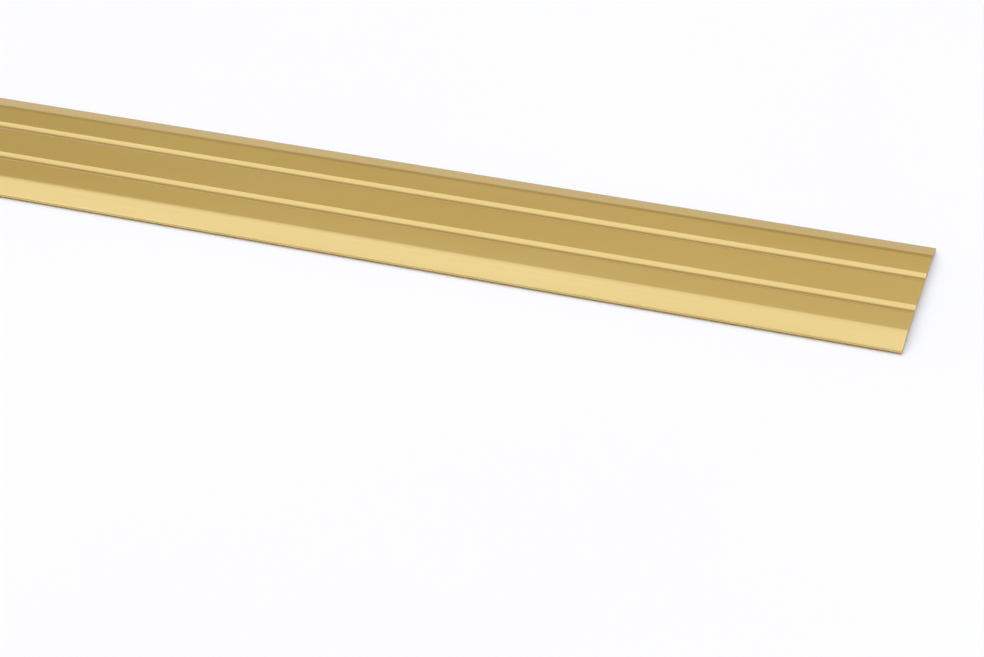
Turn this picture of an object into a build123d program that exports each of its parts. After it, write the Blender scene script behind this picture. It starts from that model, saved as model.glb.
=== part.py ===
from build123d import *

import os
from math import atan2, tan

# Self-adhesive aluminium threshold strip for a doorway.
#
# A wide, low extrusion covers the joint between two floors. Its flat top carries two shallow
# flutes, and both long sides slope down to a low foot. The hollow underneath holds two
# double-sided foam tapes, each with a release liner over its lower face.
#
# X runs along the strip, Y across it with +Y to the rear, and Z up. The origin is at the
# middle of the length and the width, on the surface that the liners lie on.

# The extrusion, in millimetres
LENGTH = 900.0
WIDTH = 38.0
TOP_WIDTH = 28.0  # between the two ridges, before they are rounded
BEVEL_DROP = 0.95
FOOT_FACE = 0.6  # height of the upright outer face of a foot
SHEET = 1.0
RIDGE_RADIUS = 10.0
ARRIS_RADIUS = 0.35
FOOT_RADIUS = 0.25

# The flutes
FLUTE_WIDTH = 3.0
FLUTE_DEPTH = 0.25
FLUTE_OFFSET = 5.9  # from the strip's centre line to a flute's

# The tapes, from the floor up: liner, adhesive, foam, adhesive
LINER = 0.10
ADHESIVE = 0.05
FOAM = 0.60
TAPE_WIDTH = 10.0
TAPE_OFFSET = 8.3  # from the strip's centre line to a tape's
TAPE_SETBACK = 2.0  # from a sawn end of the strip to the end of a tape
LINER_OVERHANG = 0.5  # past each long edge of the tape, to peel it by

# Heights above the surface that the liners lie on
LOWER_ADHESIVE_BASE = LINER
FOAM_BASE = LOWER_ADHESIVE_BASE + ADHESIVE
UPPER_ADHESIVE_BASE = FOAM_BASE + FOAM
UNDERSIDE = UPPER_ADHESIVE_BASE + ADHESIVE
TOP = UNDERSIDE + SHEET
ARRIS = TOP - BEVEL_DROP
FOOT_BASE = ARRIS - FOOT_FACE

TAPE_LENGTH = LENGTH - 2 * TAPE_SETBACK

PLACE_TOLERANCE = 0.01  # for picking an edge by where it lies


def outer_edges(profile):
    """The lengthwise edges of the feet's two upright outer faces."""
    along = profile.edges().filter_by(Axis.X)
    return along.filter_by(lambda edge: abs(abs(edge.center().Y) - WIDTH / 2) < PLACE_TOLERANCE)


def build_profile():
    """The extrusion: one sheet thickness throughout, ending in a flat-based foot each side."""
    half_top = TOP_WIDTH / 2
    half_width = WIDTH / 2
    slope = atan2(BEVEL_DROP, half_width - half_top)
    inner_corner = half_top - SHEET * tan(slope / 2)
    foot_inner = inner_corner + (UNDERSIDE - FOOT_BASE) / tan(slope)
    flute_radius = (FLUTE_WIDTH**2 / 4 + FLUTE_DEPTH**2) / (2 * FLUTE_DEPTH)
    flute_height = TOP + flute_radius - FLUTE_DEPTH

    with BuildPart() as profile:
        with BuildSketch(Plane.YZ) as section:
            with BuildLine():
                Polyline(
                    (0, TOP),
                    (half_top, TOP),
                    (half_width, ARRIS),
                    (half_width, FOOT_BASE),
                    (foot_inner, FOOT_BASE),
                    (inner_corner, UNDERSIDE),
                    (0, UNDERSIDE),
                )
                mirror(about=Plane.YZ)
            make_face()
            levels = section.vertices().group_by(Axis.Y)
            fillet(levels[-1].sort_by(Axis.X)[0], radius=RIDGE_RADIUS)
            levels = section.vertices().group_by(Axis.Y)
            fillet(levels[-1].sort_by(Axis.X)[-1], radius=RIDGE_RADIUS)
            with Locations((-FLUTE_OFFSET, flute_height), (FLUTE_OFFSET, flute_height)):
                Circle(flute_radius, mode=Mode.SUBTRACT)
        extrude(amount=LENGTH / 2, both=True)
        fillet(outer_edges(profile).group_by(Axis.Z)[-1], radius=ARRIS_RADIUS)
        fillet(outer_edges(profile).group_by(Axis.Z)[0], radius=FOOT_RADIUS)
    return profile.part


def build_layer(side, base, thickness, width):
    """One flat layer of a tape: side is -1 for the front tape and 1 for the rear one."""
    with BuildPart() as layer:
        with BuildSketch(Plane.XY.offset(base)):
            with Locations((0, side * TAPE_OFFSET)):
                Rectangle(TAPE_LENGTH, width)
        extrude(amount=thickness)
    return layer.part


def write(part, name):
    part.label = name
    export_step(part, f"parts/{name}.step")


os.makedirs("parts", exist_ok=True)
write(build_profile(), "aluminium_profile")
for row, side in (("front", -1), ("rear", 1)):
    write(build_layer(side, UPPER_ADHESIVE_BASE, ADHESIVE, TAPE_WIDTH), f"{row}_upper_adhesive")
    write(build_layer(side, FOAM_BASE, FOAM, TAPE_WIDTH), f"{row}_foam_core")
    write(build_layer(side, LOWER_ADHESIVE_BASE, ADHESIVE, TAPE_WIDTH), f"{row}_lower_adhesive")
    write(build_layer(side, 0, LINER, TAPE_WIDTH + 2 * LINER_OVERHANG), f"{row}_release_liner")
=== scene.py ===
"""Looks for a self-adhesive aluminium threshold strip: gold anodised extrusion, foam tapes, liners."""

import math

import bmesh
import bpy
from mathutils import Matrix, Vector


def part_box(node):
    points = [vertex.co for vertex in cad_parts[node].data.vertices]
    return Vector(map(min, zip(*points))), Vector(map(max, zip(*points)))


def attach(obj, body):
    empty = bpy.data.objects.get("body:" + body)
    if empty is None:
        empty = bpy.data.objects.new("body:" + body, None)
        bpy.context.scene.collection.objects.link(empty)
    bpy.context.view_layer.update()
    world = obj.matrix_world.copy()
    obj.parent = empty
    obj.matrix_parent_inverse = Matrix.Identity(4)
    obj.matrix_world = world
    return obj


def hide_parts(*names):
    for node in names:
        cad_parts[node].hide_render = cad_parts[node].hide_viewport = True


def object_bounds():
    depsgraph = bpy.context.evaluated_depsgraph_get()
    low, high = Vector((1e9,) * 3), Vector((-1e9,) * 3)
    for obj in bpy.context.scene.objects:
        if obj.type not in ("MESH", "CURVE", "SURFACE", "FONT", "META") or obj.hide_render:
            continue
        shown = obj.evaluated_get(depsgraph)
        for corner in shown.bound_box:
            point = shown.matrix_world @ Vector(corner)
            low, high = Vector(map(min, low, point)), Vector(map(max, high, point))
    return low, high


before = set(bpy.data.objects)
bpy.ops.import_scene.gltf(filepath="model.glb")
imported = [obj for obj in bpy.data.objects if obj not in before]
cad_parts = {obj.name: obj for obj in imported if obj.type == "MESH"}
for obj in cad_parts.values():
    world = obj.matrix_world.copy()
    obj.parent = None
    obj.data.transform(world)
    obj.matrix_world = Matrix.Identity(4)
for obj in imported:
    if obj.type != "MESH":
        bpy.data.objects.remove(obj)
CAD_LOW, CAD_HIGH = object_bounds()

MM = 0.001

# Section of the extrusion, as the CAD part has it
TOP_WIDTH = 28.0 * MM
BEVEL_DROP = 0.95 * MM
SHEET = 1.0 * MM
RIDGE_RADIUS = 10.0 * MM
ARRIS_RADIUS = 0.35 * MM
FOOT_RADIUS = 0.25 * MM
FLUTE_WIDTH = 3.0 * MM
FLUTE_DEPTH = 0.25 * MM
FLUTE_OFFSET = 5.9 * MM

# Detail that the CAD part leaves out
FLUTE_EDGE_RADIUS = 0.12 * MM
SAWN_EDGE = 0.05 * MM

# Steps in an arc of the section
FLUTE_STEPS = 24
FLUTE_EDGE_STEPS = 5
RIDGE_STEPS = 16
CORNER_STEPS = 12

SHARP_ANGLE = math.radians(10)  # a steeper edge than this is shaded sharp

# Wear: how far from an arris or a sawn end the anodising is rubbed paler
WORN_ARRIS = 0.45 * MM
BARE_ARRIS = 0.05 * MM
WORN_END = 0.5 * MM

# Camera, aimed at a point in front of the strip near its right-hand end
LENS = 81.2
SENSOR_WIDTH = 36.0
NEAREST = 0.01
FARTHEST = 100.0
CAMERA_AZIMUTH = math.radians(18.54)
CAMERA_ELEVATION = math.radians(32.5)
CAMERA_DISTANCE = 396.1 * MM
AIM_FROM_END = 70.55 * MM
AIM_FROM_REAR_RIDGE = 50.34 * MM

# Studio: light by height above the horizon, as (sine of the elevation, colour)
SKY = (
    (-1.0, (1.10, 1.06, 0.98)),
    (0.00, (0.86, 0.81, 0.70)),
    (0.20, (0.86, 0.81, 0.70)),
    (0.25, (0.51, 0.44, 0.26)),
    (0.41, (0.52, 0.45, 0.27)),
    (0.46, (0.73, 0.67, 0.435)),
    (0.54, (0.735, 0.672, 0.438)),
    (0.58, (1.20, 1.23, 1.36)),
    (0.63, (1.27, 1.32, 1.51)),
    (0.88, (1.30, 1.37, 1.60)),
    (1.00, (0.98, 0.98, 1.00)),
)
FLOOR_HALF = 15.0

# Material slots of the extrusion
DRAWN = 0
SAWN = 1


# ---------------------------------------------------------------- section


def arc(centre, radius, start, end, steps):
    """Points on a circle, from one angle to another in degrees."""
    points = []
    for i in range(steps + 1):
        angle = math.radians(start + (end - start) * i / steps)
        points.append((centre[0] + radius * math.cos(angle), centre[1] + radius * math.sin(angle)))
    return points


def rounded(before, corner, after, radius, steps):
    """A corner of the section, replaced by an arc that is tangent to both of its sides."""
    corner = Vector(corner)
    back = (Vector(before) - corner).normalized()
    ahead = (Vector(after) - corner).normalized()
    half = back.angle(ahead) / 2
    centre = corner + (back + ahead).normalized() * radius / math.sin(half)
    reach = radius / math.tan(half)
    first = corner + back * reach - centre
    last = corner + ahead * reach - centre
    start = math.degrees(math.atan2(first.y, first.x))
    end = math.degrees(math.atan2(last.y, last.x))
    turn = (end - start + 180) % 360 - 180
    return arc(centre, radius, start, start + turn, steps)


def flute(middle, top):
    """A shallow round-bottomed flute with softened edges, from its inner edge to its outer one."""
    radius = (FLUTE_WIDTH**2 / 4 + FLUTE_DEPTH**2) / (2 * FLUTE_DEPTH)
    rise = radius - FLUTE_DEPTH
    edge = FLUTE_EDGE_RADIUS
    reach = math.sqrt((radius + edge) ** 2 - (rise + edge) ** 2)
    tilt = math.degrees(math.atan2(reach, rise + edge))
    near = arc((middle - reach, top - edge), edge, 90, 90 - tilt, FLUTE_EDGE_STEPS)
    bed = arc((middle, top + rise), radius, 270 - tilt, 270 + tilt, FLUTE_STEPS)
    far = arc((middle + reach, top - edge), edge, 90 + tilt, 90, FLUTE_EDGE_STEPS)
    return near + bed[1:-1] + far


def half_section(half_width, top, foot_base):
    """The extrusion's outline on one side, from the middle of the top to the middle underneath."""
    half_top = TOP_WIDTH / 2
    slope = math.atan2(BEVEL_DROP, half_width - half_top)
    underside = top - SHEET
    inner_corner = half_top - SHEET * math.tan(slope / 2)
    foot_inner = inner_corner + (underside - foot_base) / math.tan(slope)
    middle = (0.0, top)
    ridge = (half_top, top)
    arris = (half_width, top - BEVEL_DROP)
    toe = (half_width, foot_base)
    heel = (foot_inner, foot_base)
    outline = [middle]
    outline += flute(FLUTE_OFFSET, top)
    outline += rounded(middle, ridge, arris, RIDGE_RADIUS, RIDGE_STEPS)
    outline += rounded(ridge, arris, toe, ARRIS_RADIUS, CORNER_STEPS)
    outline += rounded(arris, toe, heel, FOOT_RADIUS, CORNER_STEPS)
    outline += [heel, (inner_corner, underside), (0.0, underside)]
    return outline


def inset(outline, depth):
    """The closed outline, moved inwards by a small depth."""
    moved = []
    for i, point in enumerate(outline):
        before = Vector(outline[i - 1])
        here = Vector(point)
        after = Vector(outline[(i + 1) % len(outline)])
        along = ((here - before).normalized() + (after - here).normalized()).normalized()
        moved.append(here + Vector((along.y, -along.x)) * depth)
    return moved


def build_profile():
    """The extrusion as one fine mesh, with its drawn faces and its sawn ends in two slots."""
    low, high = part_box("aluminium_profile")
    right = half_section(high.y, high.z, low.z)
    left = [(-y, z) for y, z in reversed(right[1:-1])]
    outline = right + left
    sawn = inset(outline, SAWN_EDGE)
    stations = (
        (low.x, sawn),
        (low.x + SAWN_EDGE, outline),
        (high.x - SAWN_EDGE, outline),
        (high.x, sawn),
    )
    mesh = bmesh.new()
    rings = [[mesh.verts.new((x, y, z)) for y, z in ring] for x, ring in stations]
    count = len(outline)
    for k in range(len(rings) - 1):
        for i in range(count):
            j = (i + 1) % count
            face = mesh.faces.new((rings[k][i], rings[k][j], rings[k + 1][j], rings[k + 1][i]))
            face.smooth = True
            face.material_index = DRAWN if k == 1 else SAWN
    for ring in (rings[0], rings[-1]):
        cap = mesh.faces.new(ring)
        cap.material_index = SAWN
    bmesh.ops.recalc_face_normals(mesh, faces=mesh.faces)
    bmesh.ops.triangulate(mesh, faces=[face for face in mesh.faces if len(face.verts) > 4])
    data = bpy.data.meshes.new("threshold_profile")
    mesh.to_mesh(data)
    mesh.free()
    data.set_sharp_from_angle(angle=SHARP_ANGLE)
    profile = bpy.data.objects.new("threshold_profile", data)
    bpy.context.scene.collection.objects.link(profile)
    weighted = profile.modifiers.new("flat_faces", "WEIGHTED_NORMAL")
    weighted.keep_sharp = True
    weighted.weight = 100
    return profile


# ---------------------------------------------------------------- materials


class Nodes:
    """A new material's node tree, with short calls for the nodes that the materials share."""

    def __init__(self, name):
        self.material = bpy.data.materials.new(name)
        self.material.use_nodes = True
        self.tree = self.material.node_tree
        self.shader = self.tree.nodes["Principled BSDF"]
        self.place = self.tree.nodes.new("ShaderNodeTexCoord").outputs["Object"]

    def link(self, source, target):
        self.tree.links.new(source, target)

    def add(self, kind, **values):
        node = self.tree.nodes.new(kind)
        for name, value in values.items():
            setattr(node, name, value)
        return node

    def stretched(self, scale, turn=0.0):
        node = self.add("ShaderNodeMapping")
        node.inputs["Scale"].default_value = scale
        node.inputs["Rotation"].default_value = (0, 0, turn)
        self.link(self.place, node.inputs["Vector"])
        return node.outputs["Vector"]

    def noise(self, scale, detail=2.0, roughness=0.5, turn=0.0):
        node = self.add("ShaderNodeTexNoise")
        node.inputs["Scale"].default_value = 1.0
        node.inputs["Detail"].default_value = detail
        node.inputs["Roughness"].default_value = roughness
        self.link(self.stretched(scale, turn), node.inputs["Vector"])
        return node.outputs["Fac"]

    def cells(self, scale):
        node = self.add("ShaderNodeTexVoronoi")
        node.inputs["Scale"].default_value = 1.0
        self.link(self.stretched(scale), node.inputs["Vector"])
        return node.outputs["Distance"]

    def math(self, operation, a, b=None):
        node = self.add("ShaderNodeMath", operation=operation)
        for socket, value in zip(node.inputs, (a, b)):
            if value is None:
                continue
            if isinstance(value, (int, float)):
                socket.default_value = value
            else:
                self.link(value, socket)
        return node.outputs["Value"]

    def between(self, value, low, high, out_low=0.0, out_high=1.0):
        """value from low..high, mapped and held to out_low..out_high."""
        node = self.add("ShaderNodeMapRange", clamp=True)
        for socket, number in zip(list(node.inputs)[1:5], (low, high, out_low, out_high)):
            socket.default_value = number
        self.link(value, node.inputs["Value"])
        return node.outputs["Result"]

    def mix(self, share, a, b):
        node = self.add("ShaderNodeMix", data_type="RGBA")
        self.link(share, node.inputs["Factor"])
        for socket, value in ((node.inputs["A"], a), (node.inputs["B"], b)):
            if isinstance(value, tuple):
                socket.default_value = (*value, 1.0)
            else:
                self.link(value, socket)
        return node.outputs["Result"]

    def bump(self, height, distance, strength=1.0):
        node = self.add("ShaderNodeBump")
        node.inputs["Strength"].default_value = strength
        node.inputs["Distance"].default_value = distance
        self.link(height, node.inputs["Height"])
        self.link(node.outputs["Normal"], self.shader.inputs["Normal"])


def gold_anodised(high):
    """Satin gold: die lines along the strip, faint handling marks, and paler, worn arrises."""
    m = Nodes("gold_anodised_aluminium")
    die_lines = m.noise((4, 2600, 2600), detail=3, roughness=0.6)
    grain = m.noise((160, 14000, 14000), detail=2)
    clouds = m.noise((18, 60, 60), detail=3)
    scuffs = m.noise((320, 5200, 5200), detail=1, turn=math.radians(24))
    scuff_share = m.between(scuffs, 0.72, 0.80)

    tone = m.mix(m.between(clouds, 0.35, 0.65), (0.66, 0.485, 0.180), (0.68, 0.505, 0.195))
    tone = m.mix(m.between(die_lines, 0.30, 0.72, 0.0, 0.22), tone, (0.60, 0.43, 0.150))

    axes = m.add("ShaderNodeSeparateXYZ")
    m.link(m.place, axes.inputs["Vector"])
    across = m.math("ABSOLUTE", axes.outputs["Y"])
    along = m.math("ABSOLUTE", axes.outputs["X"])
    rub = m.noise((170, 2400, 2400), detail=5, roughness=0.7)
    at_arris = m.between(across, high.y - WORN_ARRIS, high.y - BARE_ARRIS)
    at_end = m.between(along, high.x - WORN_END, high.x)
    worn = m.math("MULTIPLY", m.math("MAXIMUM", at_arris, at_end), m.between(rub, 0.40, 0.72))
    tone = m.mix(m.math("MULTIPLY", worn, 0.40), tone, (0.80, 0.69, 0.42))
    m.link(tone, m.shader.inputs["Base Color"])

    gloss = m.between(die_lines, 0.3, 0.7, 0.16, 0.20)
    gloss = m.math("ADD", gloss, m.between(clouds, 0.4, 0.7, 0.0, 0.02))
    gloss = m.math("ADD", gloss, m.math("MULTIPLY", scuff_share, 0.05))
    m.link(gloss, m.shader.inputs["Roughness"])

    height = m.math("ADD", m.math("MULTIPLY", die_lines, 0.8), m.math("MULTIPLY", grain, 0.2))
    m.bump(height, 0.0012 * MM, 0.6)
    m.shader.inputs["Metallic"].default_value = 1.0
    return m.material


def sawn_aluminium():
    """Bare metal at the cut ends: curved saw marks over a dull, slightly oxidised face."""
    m = Nodes("sawn_aluminium")
    wave = m.add("ShaderNodeTexWave", wave_type="BANDS", bands_direction="Y")
    wave.inputs["Scale"].default_value = 1.0
    wave.inputs["Distortion"].default_value = 5.0
    wave.inputs["Detail"].default_value = 3.0
    m.link(m.stretched((1, 2300, 420)), wave.inputs["Vector"])
    marks = wave.outputs["Fac"]
    spots = m.noise((1500, 1500, 1500), detail=3)
    tone = m.mix(marks, (0.38, 0.38, 0.39), (0.46, 0.46, 0.46))
    tone = m.mix(m.between(spots, 0.5, 0.7, 0.0, 0.5), tone, (0.26, 0.25, 0.24))
    m.link(tone, m.shader.inputs["Base Color"])
    m.link(m.between(spots, 0.3, 0.7, 0.42, 0.60), m.shader.inputs["Roughness"])
    m.bump(marks, 0.006 * MM, 0.6)
    m.shader.inputs["Metallic"].default_value = 1.0
    return m.material


def closed_cell_foam():
    """White polyethylene foam with fine closed cells."""
    m = Nodes("closed_cell_foam")
    cells = m.cells((7000, 7000, 7000))
    clouds = m.noise((120, 400, 400), detail=3)
    tone = m.mix(m.between(clouds, 0.35, 0.65), (0.76, 0.76, 0.73), (0.83, 0.83, 0.80))
    # Painted shade: each cell is coloured darker towards its middle, at the bottom of the pit that the
    # bump below makes
    tone = m.mix(m.between(cells, 0.0, 0.45, 0.35, 0.0), tone, (0.55, 0.55, 0.52))
    m.link(tone, m.shader.inputs["Base Color"])
    m.link(m.between(cells, 0.0, 0.6, 0.95, 0.78), m.shader.inputs["Roughness"])
    m.bump(cells, 0.04 * MM, 0.8)
    return m.material


def acrylic_adhesive():
    """A thin tacky film: slightly yellow, glossy, with a faint orange-peel coat."""
    m = Nodes("acrylic_adhesive")
    peel = m.noise((900, 900, 900), detail=2)
    streaks = m.noise((30, 1400, 1400), detail=2)
    tone = m.mix(m.between(streaks, 0.35, 0.65), (0.74, 0.70, 0.57), (0.80, 0.77, 0.66))
    m.link(tone, m.shader.inputs["Base Color"])
    m.link(m.between(peel, 0.3, 0.7, 0.10, 0.24), m.shader.inputs["Roughness"])
    m.bump(peel, 0.02 * MM, 0.6)
    m.shader.inputs["Coat Weight"].default_value = 0.4
    m.shader.inputs["Coat Roughness"].default_value = 0.12
    return m.material


def release_paper():
    """Silicone-coated glassine: honey-coloured, with cloudy pulp, fibres and a smooth coat."""
    m = Nodes("release_paper")
    pulp = m.noise((260, 260, 260), detail=5, roughness=0.65)
    fibres = m.noise((500, 3200, 3200), detail=2, turn=math.radians(8))
    tone = m.mix(m.between(pulp, 0.35, 0.65), (0.50, 0.34, 0.15), (0.60, 0.44, 0.22))
    tone = m.mix(m.between(fibres, 0.58, 0.74, 0.0, 0.4), tone, (0.40, 0.26, 0.11))
    m.link(tone, m.shader.inputs["Base Color"])
    m.link(m.between(pulp, 0.3, 0.7, 0.30, 0.44), m.shader.inputs["Roughness"])
    m.bump(m.math("ADD", pulp, fibres), 0.012 * MM, 0.5)
    m.shader.inputs["Coat Weight"].default_value = 0.25
    m.shader.inputs["Coat Roughness"].default_value = 0.25
    return m.material


def pale_floor():
    """A plain pale tabletop with the faintest mottling."""
    m = Nodes("pale_floor")
    mottle = m.noise((9, 9, 9), detail=3)
    m.link(m.mix(mottle, (0.93, 0.92, 0.90), (0.95, 0.94, 0.92)), m.shader.inputs["Base Color"])
    m.shader.inputs["Roughness"].default_value = 0.9
    m.shader.inputs["Specular IOR Level"].default_value = 0.2
    return m.material


def give(node, material):
    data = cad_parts[node].data
    data.materials.clear()
    data.materials.append(material)


# ---------------------------------------------------------------- studio


def build_floor():
    corners = [(x * FLOOR_HALF, y * FLOOR_HALF) for x, y in ((-1, -1), (1, -1), (1, 1), (-1, 1))]
    data = bpy.data.meshes.new("floor")
    data.from_pydata([(x, y, CAD_LOW.z) for x, y in corners], [], [(0, 1, 2, 3)])
    data.materials.append(pale_floor())
    floor = bpy.data.objects.new("floor", data)
    bpy.context.scene.collection.objects.link(floor)


def build_sky():
    """An even studio surround whose light depends only on the height above the horizon."""
    world = bpy.data.worlds.new("studio")
    bpy.context.scene.world = world
    world.use_nodes = True
    tree = world.node_tree
    place = tree.nodes.new("ShaderNodeTexCoord")
    axes = tree.nodes.new("ShaderNodeSeparateXYZ")
    tree.links.new(place.outputs["Generated"], axes.inputs["Vector"])
    height = tree.nodes.new("ShaderNodeMapRange")
    height.inputs["From Min"].default_value = -1.0
    height.inputs["From Max"].default_value = 1.0
    tree.links.new(axes.outputs["Z"], height.inputs["Value"])
    ramp = tree.nodes.new("ShaderNodeValToRGB")
    tree.links.new(height.outputs["Result"], ramp.inputs["Fac"])
    stops = ramp.color_ramp.elements
    while len(stops) < len(SKY):
        stops.new(1.0)
    for stop, (sine, colour) in zip(stops, SKY):
        stop.position = (sine + 1) / 2
        stop.color = (*colour, 1.0)
    tree.links.new(ramp.outputs["Color"], tree.nodes["Background"].inputs["Color"])


def build_camera():
    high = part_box("aluminium_profile")[1]
    aim = Vector((high.x - AIM_FROM_END, TOP_WIDTH / 2 - AIM_FROM_REAR_RIDGE, high.z))
    level = math.cos(CAMERA_ELEVATION)
    back = Vector((
        math.sin(CAMERA_AZIMUTH) * level,
        -math.cos(CAMERA_AZIMUTH) * level,
        math.sin(CAMERA_ELEVATION),
    ))
    data = bpy.data.cameras.new("camera")
    data.lens = LENS
    data.sensor_width = SENSOR_WIDTH
    data.clip_start = NEAREST
    data.clip_end = FARTHEST
    camera = bpy.data.objects.new("camera", data)
    bpy.context.scene.collection.objects.link(camera)
    camera.location = aim + back * CAMERA_DISTANCE
    camera.rotation_mode = "QUATERNION"
    camera.rotation_quaternion = (-back).to_track_quat("-Z", "Y")
    bpy.context.scene.camera = camera


# ---------------------------------------------------------------- assembly

profile = build_profile()
profile.data.materials.append(gold_anodised(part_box("aluminium_profile")[1]))
profile.data.materials.append(sawn_aluminium())
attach(profile, "strip")
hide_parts("aluminium_profile")

foam = closed_cell_foam()
adhesive = acrylic_adhesive()
paper = release_paper()
for side in ("front", "rear"):
    give(f"{side}_foam_core", foam)
    give(f"{side}_upper_adhesive", adhesive)
    give(f"{side}_lower_adhesive", adhesive)
    give(f"{side}_release_liner", paper)

build_floor()
build_sky()
build_camera()
bpy.context.scene.view_settings.view_transform = "Standard"
